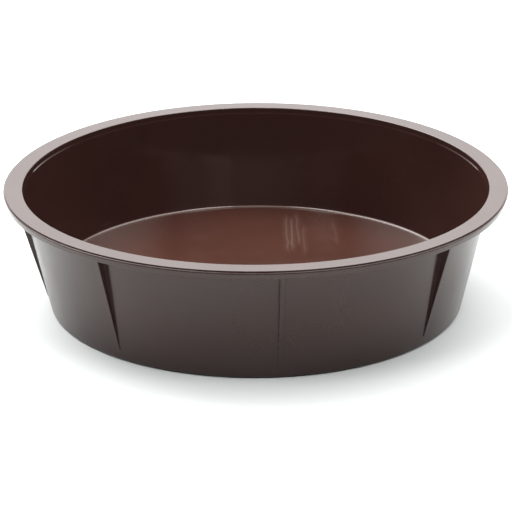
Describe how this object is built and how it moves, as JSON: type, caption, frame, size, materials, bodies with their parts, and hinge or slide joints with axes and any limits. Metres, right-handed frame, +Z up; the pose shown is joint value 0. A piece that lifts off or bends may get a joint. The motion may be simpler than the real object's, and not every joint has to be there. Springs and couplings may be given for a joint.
{
  "type": "feed bucket",
  "caption": "Shallow round moulded feed pan with a flat lipped rim, thin gusset ribs below it, a tapered wall, a raised flat floor and a foot ring.",
  "frame": {"origin": "centre of the base, in the plane that the foot ring stands on", "axes": "+Z up along the pan's axis of revolution; one gusset rib stands 6 degrees round from +X, and the others every 45 degrees from it"},
  "size_m": [0.4, 0.4, 0.1],
  "materials": {
    "brown_plastic": "moulded polypropylene or polyethylene: satin outside, glossier inside, no paint"
  },
  "bodies": {
    "root": {"moulded_pan": "brown_plastic"}
  },
  "joints": []
}
